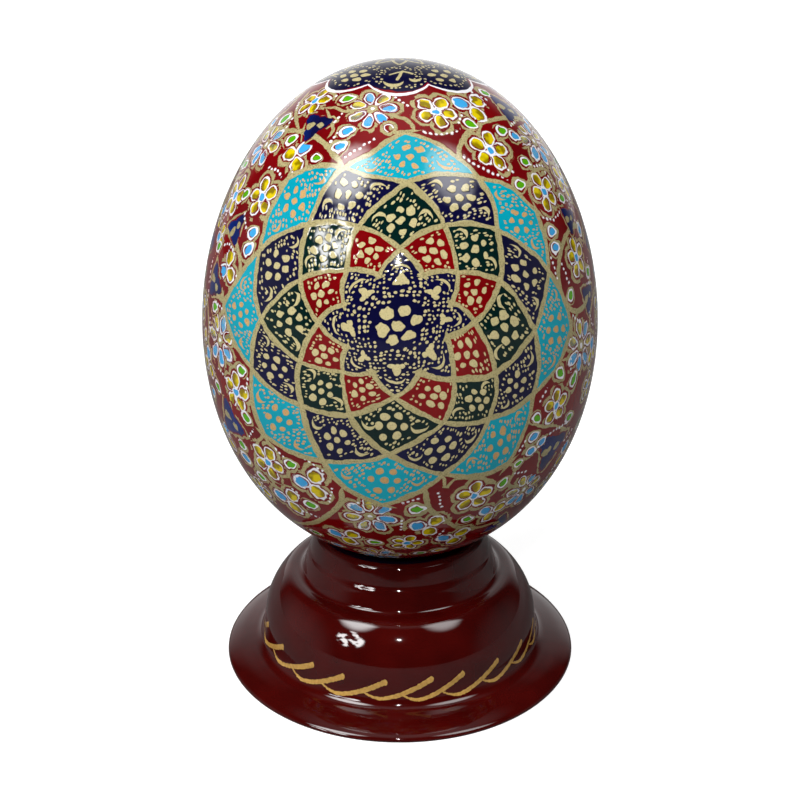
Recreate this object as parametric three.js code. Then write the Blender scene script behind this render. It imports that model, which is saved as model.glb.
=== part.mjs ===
// A painted ostrich egg resting in the dished seat of a spun-metal stand.
// Millimetres, +Z up. The origin is the centre of the stand's foot, on the surface that it stands on.
// Two loose pieces: the egg, solid, and the stand, one thin shell that is open underneath.
// Every outline is a list of [radius, height] points that is turned round the Z axis.
import * as THREE from "three";

// Egg: length 2 x EGG_HALF_LENGTH, blunt end down.
const EGG_HALF_LENGTH = 77.6;
const EGG_HALF_WIDTH = 61;
const EGG_BLUNTNESS = 0.047; // how much wider the lower half is than the upper half
const EGG_FULLNESS = 0.018; // how much both ends swell past an ellipse
const EGG_CENTRE_HEIGHT = 115.8;

// Stand, from the seat outwards and down.
const SEAT_GAP = 0.3; // between the egg and the seat where they are closest
const SEAT_CONTACT_RADIUS = 21;
const SEAT_OPENING_OUT = 0.052; // the gap's growth outside the contact ring, per mm squared
const SEAT_OPENING_IN = 0.004; // the same inside it
const SEAT_EDGE_RADIUS = 26.2;
const LIP = [27.1, 43.1];
const COLLAR = [[28.2, 42.2], [28.7, 41.1], [29.1, 39.7], [29.6, 37.8]];
const STEP = [[30, 36.2], [30.7, 35.2], [31, 34.3]];
const NECK = [[31.4, 33], [32.1, 31], [32.8, 29.5]];
const SHOULDER = [[33.8, 28.9], [35.4, 28.9], [36.9, 28.8]];
const DOME_RADIUS = 46.1; // at its widest
const DOME_BEND = 25; // radius of the rounded side
const DOME_BEND_HEIGHT = 10; // centre of that rounding
const DOME_BEND_TOP = 47; // degrees above the horizontal where the rounding meets the shoulder
const BRIM_FILLET = [[46.3, 8.1], [46.7, 6.6], [47.5, 5.3], [48.9, 4.4]];
const BRIM = [[50.8, 4], [54.5, 3.2], [57.2, 2.2]];
const BRIM_EDGE = [[58.5, 1.4], [58.9, 0.6]];
const FOOT_OUTER_RADIUS = 58.4;
const FOOT_INNER_RADIUS = 57;
const WALL = 1.2; // thickness of the metal
const HOLLOW_BRIM = [[56.5, 1], [50.4, 2.8]];
const HOLLOW_FILLET = [[48.3, 3.3], [46.5, 4.6], [45.5, 6.4]];
const HOLLOW_SHOULDER = [[36.4, 27.6], [33.2, 27.6]];
const HOLLOW_COLLAR = [[31.6, 29], [30.1, 33], [28.4, 34.8], [28.1, 38.6], [27.4, 41.2]];

const SEGMENTS = 48; // round each outline
const EGG_STEPS = 26;
const SEAT_STEPS = 7;
const BEND_STEPS = 7;

// Radius of the egg at the angle from its top pole, 0 to PI.
function eggRadius(angle) {
  const c = Math.cos(angle);
  return EGG_HALF_WIDTH * Math.sin(angle) * (1 - EGG_BLUNTNESS * c + EGG_FULLNESS * c * c);
}

// Height of the egg's underside at a radius, found by halving the angle's range.
function eggUnderside(radius) {
  let low = Math.PI / 2 + 0.3;
  let high = Math.PI;
  for (let i = 0; i < 40; i++) {
    const middle = (low + high) / 2;
    if (eggRadius(middle) > radius) low = middle;
    else high = middle;
  }
  return EGG_CENTRE_HEIGHT + EGG_HALF_LENGTH * Math.cos(high);
}

// Height of the seat's surface: it follows the egg and falls away on both sides of the contact ring.
function seatHeight(radius) {
  const away = radius - SEAT_CONTACT_RADIUS;
  const opening = away > 0 ? SEAT_OPENING_OUT : SEAT_OPENING_IN;
  return eggUnderside(radius) - SEAT_GAP - opening * away * away;
}

// Points on a circular arc in the outline's plane, angles in degrees above the horizontal.
function arc(centreRadius, centreHeight, radius, from, to) {
  const points = [];
  for (let i = 0; i <= BEND_STEPS; i++) {
    const a = THREE.MathUtils.degToRad(from + ((to - from) * i) / BEND_STEPS);
    points.push([centreRadius + radius * Math.cos(a), centreHeight + radius * Math.sin(a)]);
  }
  return points;
}

// The seat from its centre out to its edge, lowered by a thickness for its underside.
function seatOutline(lowered) {
  const points = [];
  for (let i = 0; i <= SEAT_STEPS; i++) {
    const radius = (SEAT_EDGE_RADIUS * i) / SEAT_STEPS;
    points.push([radius, seatHeight(radius) - lowered]);
  }
  return points;
}

// Turns a closed or pole-to-pole outline round the Z axis.
function turned(outline) {
  const points = outline.map(([radius, height]) => new THREE.Vector2(radius, height));
  return new THREE.LatheGeometry(points, SEGMENTS).rotateX(Math.PI / 2);
}

function eggGeometry() {
  const outline = [];
  for (let i = 0; i <= EGG_STEPS; i++) {
    const angle = Math.PI * (1 - i / EGG_STEPS);
    const radius = i === 0 || i === EGG_STEPS ? 0 : eggRadius(angle);
    outline.push([radius, EGG_HALF_LENGTH * Math.cos(angle)]);
  }
  return turned(outline);
}

function standGeometry() {
  const bendCentre = DOME_RADIUS - DOME_BEND;
  const outside = [
    ...seatOutline(0),
    LIP,
    ...COLLAR,
    ...STEP,
    ...NECK,
    ...SHOULDER,
    ...arc(bendCentre, DOME_BEND_HEIGHT, DOME_BEND, DOME_BEND_TOP, 0),
    ...BRIM_FILLET,
    ...BRIM,
    ...BRIM_EDGE,
    [FOOT_OUTER_RADIUS, 0],
  ];
  const underside = [
    [FOOT_INNER_RADIUS, 0],
    ...HOLLOW_BRIM,
    ...HOLLOW_FILLET,
    ...arc(bendCentre, DOME_BEND_HEIGHT, DOME_BEND - WALL, 0, DOME_BEND_TOP),
    ...HOLLOW_SHOULDER,
    ...HOLLOW_COLLAR,
    ...seatOutline(WALL).reverse(),
  ];
  return turned([...outside, ...underside].reverse());
}

const egg = new THREE.Mesh(
  eggGeometry(),
  new THREE.MeshStandardMaterial({ color: 0x6a1a22, roughness: 0.12, metalness: 0 }),
);
egg.name = "egg";
egg.position.z = EGG_CENTRE_HEIGHT;

const stand = new THREE.Mesh(
  standGeometry(),
  new THREE.MeshStandardMaterial({ color: 0x4a0f12, roughness: 0.1, metalness: 0 }),
);
stand.name = "stand";

const paintedEggOnStand = new THREE.Group();
paintedEggOnStand.add(stand, egg);

export default paintedEggOnStand;
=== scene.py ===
"""Dresses a painted ostrich egg and the enamelled stand that it rests on.

Everything is in metres. The shell and the stand are surfaces of revolution round the Z axis, worked
out from the same sizes as the construction. The painting lies on a map of the shell in millimetres:
east is the way round along a parallel from a medallion's middle line, north is the way up along the
shell from its middle height. The same painting is laid out on the front and on the back.
"""

import logging
import math
from dataclasses import dataclass, field
from enum import Enum, IntEnum
from typing import Callable, Sequence, Union

import bpy
import numpy as np
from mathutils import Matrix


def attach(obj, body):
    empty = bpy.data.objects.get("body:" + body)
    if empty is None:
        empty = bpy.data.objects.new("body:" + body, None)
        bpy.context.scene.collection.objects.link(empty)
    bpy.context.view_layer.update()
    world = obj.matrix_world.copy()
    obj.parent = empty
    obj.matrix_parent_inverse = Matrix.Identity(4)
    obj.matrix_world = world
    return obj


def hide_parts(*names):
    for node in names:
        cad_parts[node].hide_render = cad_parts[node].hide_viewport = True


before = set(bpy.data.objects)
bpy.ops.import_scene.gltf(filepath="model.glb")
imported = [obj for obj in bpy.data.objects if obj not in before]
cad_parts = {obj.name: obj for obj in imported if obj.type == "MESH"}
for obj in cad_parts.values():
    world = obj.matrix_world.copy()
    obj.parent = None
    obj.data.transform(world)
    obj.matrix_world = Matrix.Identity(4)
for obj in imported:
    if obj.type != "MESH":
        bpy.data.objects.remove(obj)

LOG = logging.getLogger("painted_egg")
MM = 0.001
FAR = 9.0  # a distance at which nothing is drawn, mm
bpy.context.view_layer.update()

Colour = tuple[float, float, float]
Number = Union["Value", float]
Paint = Union["Value", Enum]
Places = tuple[tuple[float, float], ...]
Keep = Callable[["Value", "Value"], "Value"]


def srgb(red: int, green: int, blue: int) -> Colour:
    """Turns a screen colour, 0 to 255, into the linear colour that a shader takes.

    Args:
        red, green, blue: the screen colour's channels.

    Returns:
        The linear red, green and blue.
    """
    shares = np.array([red, green, blue]) / 255
    linear = np.where(shares <= 0.04045, shares / 12.92, ((shares + 0.055) / 1.055) ** 2.4)
    return tuple(float(channel) for channel in linear)


class Pigment(Enum):
    """The painter's colours, as they look dry under the lacquer."""

    RED = srgb(134, 3, 8)
    DEEP_RED = srgb(98, 4, 11)
    NAVY = srgb(13, 12, 60)
    INK = srgb(8, 8, 38)
    ROYAL = srgb(4, 40, 122)
    GREEN = srgb(3, 36, 33)
    DEEP_GREEN = srgb(2, 25, 23)
    TURQUOISE = srgb(3, 178, 200)
    DEEP_TURQUOISE = srgb(0, 147, 170)
    GOLD_LINE = srgb(196, 182, 132)
    GOLD_SHADE = srgb(134, 126, 82)
    CREAM = srgb(212, 198, 146)
    ORANGE_GOLD = srgb(216, 168, 106)
    YELLOW = srgb(230, 206, 10)
    OLIVE = srgb(146, 124, 2)
    WHITE = srgb(250, 250, 254)
    SKY = srgb(64, 172, 236)
    LEAF = srgb(90, 178, 14)


# ---------------------------------------------------------------------------------------------
# Shader arithmetic
# ---------------------------------------------------------------------------------------------


def operator(operation: str, swapped: bool = False) -> Callable[["Value", Number], "Value"]:
    """Makes one of Value's arithmetic methods.

    Args:
        operation: the Math node's operation.
        swapped: whether the other number comes first.

    Returns:
        The method.
    """

    def method(value: "Value", other: Number) -> "Value":
        """The result, worked out by a Math node."""
        return value.tree.math(operation, *((other, value) if swapped else (value, other)))

    return method


class Value:
    """A number that changes over a surface, with Python's arithmetic adding its Math nodes."""

    __add__ = operator("ADD")
    __radd__ = operator("ADD", swapped=True)
    __sub__ = operator("SUBTRACT")
    __rsub__ = operator("SUBTRACT", swapped=True)
    __mul__ = operator("MULTIPLY")
    __rmul__ = operator("MULTIPLY", swapped=True)
    __truediv__ = operator("DIVIDE")
    __rtruediv__ = operator("DIVIDE", swapped=True)
    __mod__ = operator("FLOORED_MODULO")
    __pow__ = operator("POWER")
    __lt__ = operator("LESS_THAN")
    __gt__ = operator("GREATER_THAN")

    def __init__(self, tree: "Tree", socket: bpy.types.NodeSocket) -> None:
        """Wraps an output socket of a tree."""
        self.tree = tree
        self.socket = socket

    def __abs__(self) -> "Value":
        """The size without its sign."""
        return self.tree.math("ABSOLUTE", self)


class Tree:
    """The nodes of one material or of the world, added by expressions."""

    EDGE = 0.1  # how soft a painted edge is, mm

    def __init__(self, owner: Union[bpy.types.Material, bpy.types.World]) -> None:
        """Empties the owner's nodes.

        Args:
            owner: the material or world whose nodes these are.
        """
        self.owner = owner
        owner.use_nodes = True
        self.nodes = owner.node_tree.nodes
        self.links = owner.node_tree.links
        self.nodes.clear()

    def node(self, kind: str, settings: dict | None = None, values: dict | None = None) -> bpy.types.Node:
        """Adds a node.

        Args:
            kind: the node's type.
            settings: the node's own properties, set first.
            values: a value or a link for each of its sockets, by name or number.

        Returns:
            The new node.
        """
        made = self.nodes.new(kind)
        for name, setting in (settings or {}).items():
            setattr(made, name, setting)
        for name, value in (values or {}).items():
            if isinstance(value, Value):
                self.links.new(value.socket, made.inputs[name])
            else:
                made.inputs[name].default_value = value
        return made

    def out(self, node: bpy.types.Node, name: Union[str, int] = 0) -> Value:
        """Wraps one output of a node."""
        return Value(self, node.outputs[name])

    def math(self, operation: str, *terms: Number, clamp: bool = False) -> Value:
        """Adds a Math node.

        Args:
            operation: the Math node's operation.
            terms: its inputs in order.
            clamp: keeps the result between 0 and 1.

        Returns:
            Its result.
        """
        settings = {"operation": operation, "use_clamp": clamp}
        return self.out(self.node("ShaderNodeMath", settings, dict(enumerate(terms))))

    def least(self, *terms: Number) -> Value:
        """The smallest of several numbers.

        Args:
            terms: the numbers.

        Returns:
            The smallest of them.
        """
        result = terms[0]
        for term in terms[1:]:
            result = self.math("MINIMUM", result, term)
        return result

    def most(self, *terms: Number) -> Value:
        """The largest of several numbers.

        Args:
            terms: the numbers.

        Returns:
            The largest of them.
        """
        result = terms[0]
        for term in terms[1:]:
            result = self.math("MAXIMUM", result, term)
        return result

    def length(self, x: Number, y: Number) -> Value:
        """The distance of a point of the plane from its origin."""
        return self.math("SQRT", x * x + y * y)

    def inside(self, distance: Value, soft: float = EDGE) -> Value:
        """Turns a signed distance in mm into a mask: 1 where it is below zero, with a soft edge.

        Args:
            distance: below zero inside the shape.
            soft: the edge's width in mm.

        Returns:
            The mask.
        """
        return self.math("MULTIPLY_ADD", distance, -1 / soft, 0.5, clamp=True)

    def choose(self, mask: Number, low: Number, high: Number) -> Value:
        """The low number where the mask is 0 and the high one where it is 1."""
        return self.out(self.node("ShaderNodeMix", {"data_type": "FLOAT"}, {0: mask, 2: low, 3: high}))

    def ease(self, value: Value, low: float, high: float) -> Value:
        """Rises smoothly from 0 to 1 as the value goes from low to high.

        Args:
            value: what it depends on.
            low, high: the values at 0 and at 1.

        Returns:
            The share, 0 to 1.
        """
        settings = {"interpolation_type": "SMOOTHSTEP"}
        values = {"Value": value, "From Min": low, "From Max": high}
        return self.out(self.node("ShaderNodeMapRange", settings, values))

    def vector(self, x: Number, y: Number, z: Number = 0.0) -> Value:
        """Puts three numbers together as a vector."""
        return self.out(self.node("ShaderNodeCombineXYZ", values={0: x, 1: y, 2: z}))

    def parts(self, vector: Value) -> tuple[Value, Value, Value]:
        """Takes a vector's or a colour's three numbers apart."""
        split = self.node("ShaderNodeSeparateXYZ", values={0: vector})
        return self.out(split, 0), self.out(split, 1), self.out(split, 2)

    def attribute(self, name: str) -> tuple[Value, Value, Value]:
        """Reads a mesh attribute's three numbers."""
        return self.parts(self.out(self.node("ShaderNodeAttribute", {"attribute_name": name}), "Vector"))

    def place(self) -> Value:
        """The point of the surface in its own frame, in metres."""
        return self.out(self.node("ShaderNodeTexCoord"), "Object")

    def noise(self, size: float, detail: float = 2.0, offset: float = 0.0) -> tuple[Value, Value]:
        """Smooth noise over the surface.

        Args:
            size: how far apart its swells are, mm.
            detail: octaves of finer noise.
            offset: moves the noise, so that two of them differ.

        Returns:
            The noise as a number and as a colour, both about 0.5.
        """
        terms = {0: self.place(), 1: (offset,) * 3}
        moved = self.node("ShaderNodeVectorMath", {"operation": "ADD"}, terms)
        values = {"Vector": self.out(moved), "Scale": 1 / (size * MM), "Detail": detail}
        made = self.node("ShaderNodeTexNoise", values=values)
        return self.out(made, "Fac"), self.out(made, "Color")

    def chance(self, x: Number, y: Number, z: Number = 0.0) -> tuple[Value, Value, Value]:
        """Three numbers from 0 to 1 that are the same wherever the three given ones are.

        Args:
            x, y, z: the given numbers.

        Returns:
            The three drawn numbers.
        """
        values = {"Vector": self.vector(x, y, z)}
        made = self.node("ShaderNodeTexWhiteNoise", {"noise_dimensions": "3D"}, values)
        return self.parts(self.out(made, "Color"))

    def blend(self, mask: Number, under: Paint, over: Paint) -> Value:
        """Lays one colour over another.

        Args:
            mask: how much of the upper colour covers.
            under: the colour below.
            over: the colour on top.

        Returns:
            The blended colour.
        """
        values = {0: mask}
        for socket, colour in ((6, under), (7, over)):
            values[socket] = (*colour.value, 1.0) if isinstance(colour, Enum) else colour
        return self.out(self.node("ShaderNodeMix", {"data_type": "RGBA"}, values), 2)


# ---------------------------------------------------------------------------------------------
# Turned surfaces
# ---------------------------------------------------------------------------------------------


@dataclass
class Turned:
    """A surface of revolution on a grid: rows along its outline, columns round the Z axis."""

    outline: np.ndarray  # rows of (radius, height) in mm; a radius of 0 is a pole
    columns: int

    def __post_init__(self) -> None:
        """Works out which corners each face has, as row and column numbers.

        A face's columns run on past the last one, so that an angle worked out from them has no jump
        inside the face. A face at a pole loses one of its two pole corners and is a triangle.
        """
        rows = len(self.outline)
        row, column = np.meshgrid(np.arange(rows - 1), np.arange(self.columns), indexing="ij")
        row, column = row.ravel(), column.ravel()
        corner_rows = np.stack([row, row, row + 1, row + 1], axis=1)
        corner_columns = np.stack([column, column + 1, column + 1, column], axis=1)
        at_pole = self.outline[corner_rows, 0] == 0
        self.keep = np.ones_like(corner_rows, dtype=bool)
        self.keep[:, 1] = ~at_pole[:, 0]
        self.keep[:, 3] = ~at_pole[:, 2]
        self.sides = self.keep.sum(axis=1)
        self.corner_rows = corner_rows[self.keep]
        self.corner_columns = corner_columns[self.keep]
        self.face_of_corner = np.repeat(np.arange(len(self.sides)), self.sides)

    def turns(self) -> np.ndarray:
        """Each corner's angle round the axis in radians, counted from the front towards +X."""
        return 2 * math.pi * self.corner_columns / self.columns - math.pi

    def mesh(self, name: str) -> bpy.types.Object:
        """Makes the mesh: point = (radius sin angle, -radius cos angle, height), poles once each.

        Args:
            name: the object's name.

        Returns:
            The new object, smooth-shaded, at the origin.
        """
        poles = self.outline[:, 0] == 0
        counts = np.where(poles, 1, self.columns)
        first = np.concatenate([[0], np.cumsum(counts)])
        radius, height = np.repeat(self.outline, counts, axis=0).T
        column = np.arange(first[-1]) - np.repeat(first[:-1], counts)
        angle = 2 * math.pi * column / self.columns - math.pi
        points = np.column_stack([radius * np.sin(angle), -radius * np.cos(angle), height]) * MM
        wrapped = np.where(poles[self.corner_rows], 0, self.corner_columns % self.columns)
        corners = first[self.corner_rows] + wrapped
        data = bpy.data.meshes.new(name)
        data.vertices.add(len(points))
        data.vertices.foreach_set("co", points.ravel())
        data.loops.add(len(corners))
        data.loops.foreach_set("vertex_index", corners.astype(np.int32))
        data.polygons.add(len(self.sides))
        starts = np.concatenate([[0], np.cumsum(self.sides)[:-1]]).astype(np.int32)
        data.polygons.foreach_set("loop_start", starts)
        data.polygons.foreach_set("use_smooth", np.ones(len(self.sides), dtype=bool))
        data.update(calc_edges=True)
        data.validate()
        piece = bpy.data.objects.new(name, data)
        bpy.context.scene.collection.objects.link(piece)
        return piece


def corner_attribute(piece: bpy.types.Object, name: str, values: np.ndarray) -> None:
    """Writes three numbers for every face corner.

    Args:
        piece: the object whose mesh takes them.
        name: the attribute's name.
        values: one row of three numbers for each corner.
    """
    layer = piece.data.attributes.new(name, "FLOAT_VECTOR", "CORNER")
    layer.data.foreach_set("vector", np.ascontiguousarray(values, dtype=np.float32).ravel())


def smooth_line(points: Sequence[tuple[float, float]], step: float) -> np.ndarray:
    """Runs a smooth curve through points: a Catmull-Rom spline, its ends straight on.

    Args:
        points: the places that it passes.
        step: how far apart the curve's own points are.

    Returns:
        The curve's points in order.
    """
    knots = np.array(points, dtype=float)
    knots = np.vstack([2 * knots[0] - knots[1], knots, 2 * knots[-1] - knots[-2]])
    pieces = []
    for before, start, end, after in zip(knots[:-3], knots[1:-2], knots[2:-1], knots[3:]):
        count = max(2, int(np.hypot(*(end - start)) / step))
        share = (np.arange(count) / count)[:, None]
        pieces.append(
            0.5
            * (
                2 * start
                + (end - before) * share
                + (2 * before - 5 * start + 4 * end - after) * share**2
                + (3 * start - before - 3 * end + after) * share**3
            )
        )
    return np.vstack(pieces + [knots[-2][None]])


# ---------------------------------------------------------------------------------------------
# The painting's plan: what is painted where on the map of the shell, read in millimetres
# ---------------------------------------------------------------------------------------------


class Motif(IntEnum):
    """The border's small motifs. The number of a flower is the number of its petals."""

    NONE = 0
    GREEN_BUD = 1
    BLUE_BUD = 2
    TRIO = 3
    NAVY_LEAF = 4
    FLOWER = 5
    YELLOW_BUD = 6
    BLOOM = 7
    CURL = 8


SMALL_MOTIFS = (Motif.GREEN_BUD, Motif.BLUE_BUD, Motif.YELLOW_BUD, Motif.CURL)
ABSENT = -9.0  # the width or length of a line or row that isn't there


@dataclass(frozen=True)
class Mark:
    """One motif: its middle on the map, its size against the usual one, and its turn in degrees."""

    kind: Motif
    east: float
    north: float
    turn: float = 0.0
    size: float = 1.0


@dataclass(frozen=True)
class Row:
    """A short row of white dots: its middle, its direction in degrees, its length and its bow."""

    east: float
    north: float
    turn: float
    length: float
    bow: float = 0.0


@dataclass(frozen=True)
class Vine:
    """A gold line of the border through places on the map."""

    places: Places
    width: float = 1.7

    @staticmethod
    def ring(east: float, north: float, radius: float, start: float, end: float) -> "Vine":
        """A gold arc round a place, from one angle to another in degrees from the east.

        Args:
            east, north: the place in mm.
            radius: the arc's radius in mm.
            start, end: the angles.

        Returns:
            The arc.
        """
        angles = np.radians(np.linspace(start, end, 13))
        places = np.stack([east + radius * np.cos(angles), north + radius * np.sin(angles)], axis=1)
        return Vine(tuple(map(tuple, places)))


@dataclass(frozen=True)
class Net:
    """The medallion's eight-fold net of crossing arcs.

    The painter's hand is kept: rings holds where the arcs cross, ring by ring from the star's
    notches to the outer tips, clockwise from the top. On an even net, ring n has the radius
    inner + pitch n, and its crossings lie every eighth of a turn, every other ring half-way between.
    """

    middle: tuple[float, float] = (-0.5, 15.5)
    inner: float = 13.0
    pitch: float = 8.2
    folds: int = 8
    edge: float = 64.0  # past this distance the map is all border
    rings: tuple[Places, ...] = (
        ((6, 28.5), (13.5, 21), (12.5, 12.5), (5, 3), (-7, 3), (-14, 9.5), (-15, 20.5), (-5.5, 28.5)),
        (
            (0, 35.5), (15, 29), (20, 15.5), (14.5, 0.5),
            (-1.5, -3.5), (-15.5, 2.5), (-22, 15), (-14, 29.5),
        ),
        (
            (11.5, 41.5), (27.5, 25.5), (26.5, 1), (11.5, -11.5),
            (-13.5, -9.5), (-28, 4), (-27.5, 26), (-11, 41),
        ),
        ((2, 53), (27, 39), (39, 10.5), (25, -12), (-3, -21), (-27.5, -8.5), (-41, 13.5), (-25, 40.5)),
        (
            (21.5, 53.5), (45, 25.5), (39.5, -7.5), (12, -28.5),
            (-21.5, -25), (-45, -1), (-42, 31.5), (-15, 57),
        ),
        (
            (1, 68), (41.5, 42), (55.5, 8), (32, -28.5),
            (-5, -39.5), (-41.5, -21), (-58.5, 13.5), (-33, 52),
        ),
    )
    # half-way along the outer arcs, clockwise from just right of the top
    rims: Places = (
        (12.5, 62.5), (32.5, 49.5), (44, 35), (50.5, 19), (50, -0.5), (37.5, -17), (22.5, -30.5),
        (5, -34.5), (-16.5, -33), (-32, -24.5), (-45.5, -12), (-52, 4), (-52, 21.5), (-39, 42),
        (-25, 56.5), (-8.5, 61),
    )

    def pairs(self) -> tuple[np.ndarray, np.ndarray]:
        """The crossings as painted, and the same crossings on an even net.

        Returns:
            Two arrays of places in mm, east and north.
        """
        painted, even = [self.middle], [(0.0, 0.0)]
        for ring, crossings in enumerate(self.rings):
            shifted = 0.5 if ring % 2 == 0 else 0.0
            turns = (np.arange(self.folds) + shifted) * 2 * math.pi / self.folds
            radius = self.inner + self.pitch * ring
            painted.extend(crossings)
            even.extend(zip(radius * np.sin(turns), radius * np.cos(turns)))
        turns = (np.arange(2 * self.folds) + 0.5) * math.pi / self.folds
        radius = self.inner + self.pitch * (len(self.rings) - 1.5)
        painted.extend(self.rims)
        even.extend(zip(radius * np.sin(turns), radius * np.cos(turns)))
        return np.array(painted), np.array(even)

    def evened(self, places: np.ndarray) -> np.ndarray:
        """Takes places on the shell's map to the even net.

        The map between them is a thin-plate spline, f(p) = a + b p + the sum of w |p - q|^2 log |p - q|
        over the crossings q, with the weights that take each painted crossing to its even one.

        Args:
            places: east and north in mm, one row each.

        Returns:
            The places on the even net in mm, with its middle at 0, 0.
        """
        painted, even = self.pairs()

        def bend(from_places: np.ndarray) -> np.ndarray:
            """The spline's kernel and its plane, for each place and crossing.

            Args:
                from_places: the places in mm.

            Returns:
                One row for each place.
            """
            apart = ((from_places[:, None] - painted[None]) ** 2).sum(axis=2)
            kernel = apart * np.log(apart + 1e-12) / 2
            return np.column_stack([kernel, np.ones(len(from_places)), from_places])

        known = bend(painted)
        count = len(painted)
        system = np.zeros((count + 3, count + 3))
        system[:count] = known
        system[count:, :count] = known[:, count:].T
        weights = np.linalg.solve(system, np.vstack([even, np.zeros((3, 2))]))
        result = np.concatenate([bend(part) @ weights for part in np.array_split(places, 40)])
        away = places - np.array(self.middle)
        distance = np.maximum(np.hypot(*away.T), 1e-6)[:, None]
        outside = away / distance * (self.inner + 7 * self.pitch)
        return np.where(distance > self.edge, outside, result)


def marks(kinds: dict[Motif, tuple[tuple[float, ...], ...]]) -> tuple[Mark, ...]:
    """Makes marks of each kind from their east, north, turn and size."""
    return tuple(Mark(kind, *numbers) for kind, group in kinds.items() for numbers in group)


def rows(group: tuple[tuple[float, ...], ...]) -> tuple[Row, ...]:
    """Makes rows of dots from their east, north, turn, length and bow."""
    return tuple(Row(*numbers) for numbers in group)


def vines(widths: dict[float, tuple[Places, ...]]) -> tuple[Vine, ...]:
    """Makes vines of each width from the places that they run through."""
    return tuple(Vine(places, width) for width, group in widths.items() for places in group)


FRONT_MARKS: tuple[Mark, ...] = marks(
    {
        Motif.FLOWER: (
            (10, 75, 55), (26, 61, 69, 1.05), (-27.5, 77, 20, 0.95), (-43, 45.5, 30),
            (-60, 43, 10, 1.1), (-53, -10.5, 10, 1.05), (46.5, 46.5, 30), (61, 26, 20),
            (62, 47, 50, 0.95), (49.5, -14, 20, 0.95), (-41.5, -31, 60, 1.1), (21.5, -38.5, 15),
            (2, -60, 0, 0.85),
        ),
        Motif.TRIO: (
            (21.5, 76, 150, 1.1), (-30.5, 59, 60, 0.95), (-57.5, 24, 210, 0.95),
            (-26, -34.5, 180, 1.1), (8, -50, 170), (-35, -45, 170, 1.1), (-16.5, -58.5, 160),
            (16, -59, 170), (28, -48, 150, 0.9),
        ),
        Motif.BLOOM: (
            (-7.5, 76, 60, 0.92), (-47, 60), (-61, 3, 20, 1.1), (48, 61, 10, 1.1),
            (62, 1, 0, 1.1), (-8.5, -45, 90, 1.05), (40, -42, 20, 0.95), (-6, -73, 10, 0.9),
        ),
        Motif.GREEN_BUD: (
            (-15, 79.5, 25), (-33.5, 63.5, 35), (-23.5, 59, 0, 0.75), (-41, 69, 30, 1.2),
            (20, 70, -40), (31.5, 66.5), (39.5, 56, -20, 0.9), (29.5, 80, -25), (36, 50, 0, 0.9),
            (-52, 45, 25, 0.95), (-60, 52, 20), (-49.5, -3, 10), (-49, -17.5, -30, 1.05),
            (-65, 11.5, 10), (-65, -12.5, -40), (-66, 28, 30), (57, 43, -15, 0.9),
            (55.5, 17, 60, 0.85), (50.5, -4, -40), (58, -8, 50, 1.1), (41.5, -15.5, -50, 0.9),
            (58, -20.5, 10), (70, 20, 20), (-53.5, -29, -20), (-32.5, -29, 10),
            (-27, -44, 0, 1.1), (5, -41.5, 0, 1.1), (-7.5, -60), (-27.5, -62),
            (36, -29.5, 30, 0.7), (31, -35.5, 60, 0.9), (20, -49, 0, 0.95), (-46, -39, -20),
            (6, -70, 0, 0.9),
        ),
        Motif.BLUE_BUD: (
            (-14.5, 68, 20), (-16.5, 63, 40), (37, 64, -20), (-45.5, 35.5, 30, 1.05),
            (-47, 31, 45, 1.1), (48, 35.5, -10, 0.95), (49, 31, 15, 0.95), (41, -21.5, 20, 0.95),
            (44.5, -24.5, 30, 0.95), (40.5, -26.5, 0, 0.95), (-53, -34, -20, 1.2), (-20, -69),
        ),
        Motif.CURL: (
            (-3, 69.5),
        ),
        Motif.NAVY_LEAF: (
            (-25, 69, 25, 1.15), (38, 73, -20, 1.3), (-55, 35, 60, 1.1), (-66, 18, -15, 1.2),
            (-58, -21.5, -20, 1.5), (59.5, 37, 10), (68, 13.5, 25, 1.1), (50, -29, 22, 1.6),
            (32, -58, -25, 1.1),
        ),
        Motif.YELLOW_BUD: (
            (12, -69),
        ),
    }
)

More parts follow.
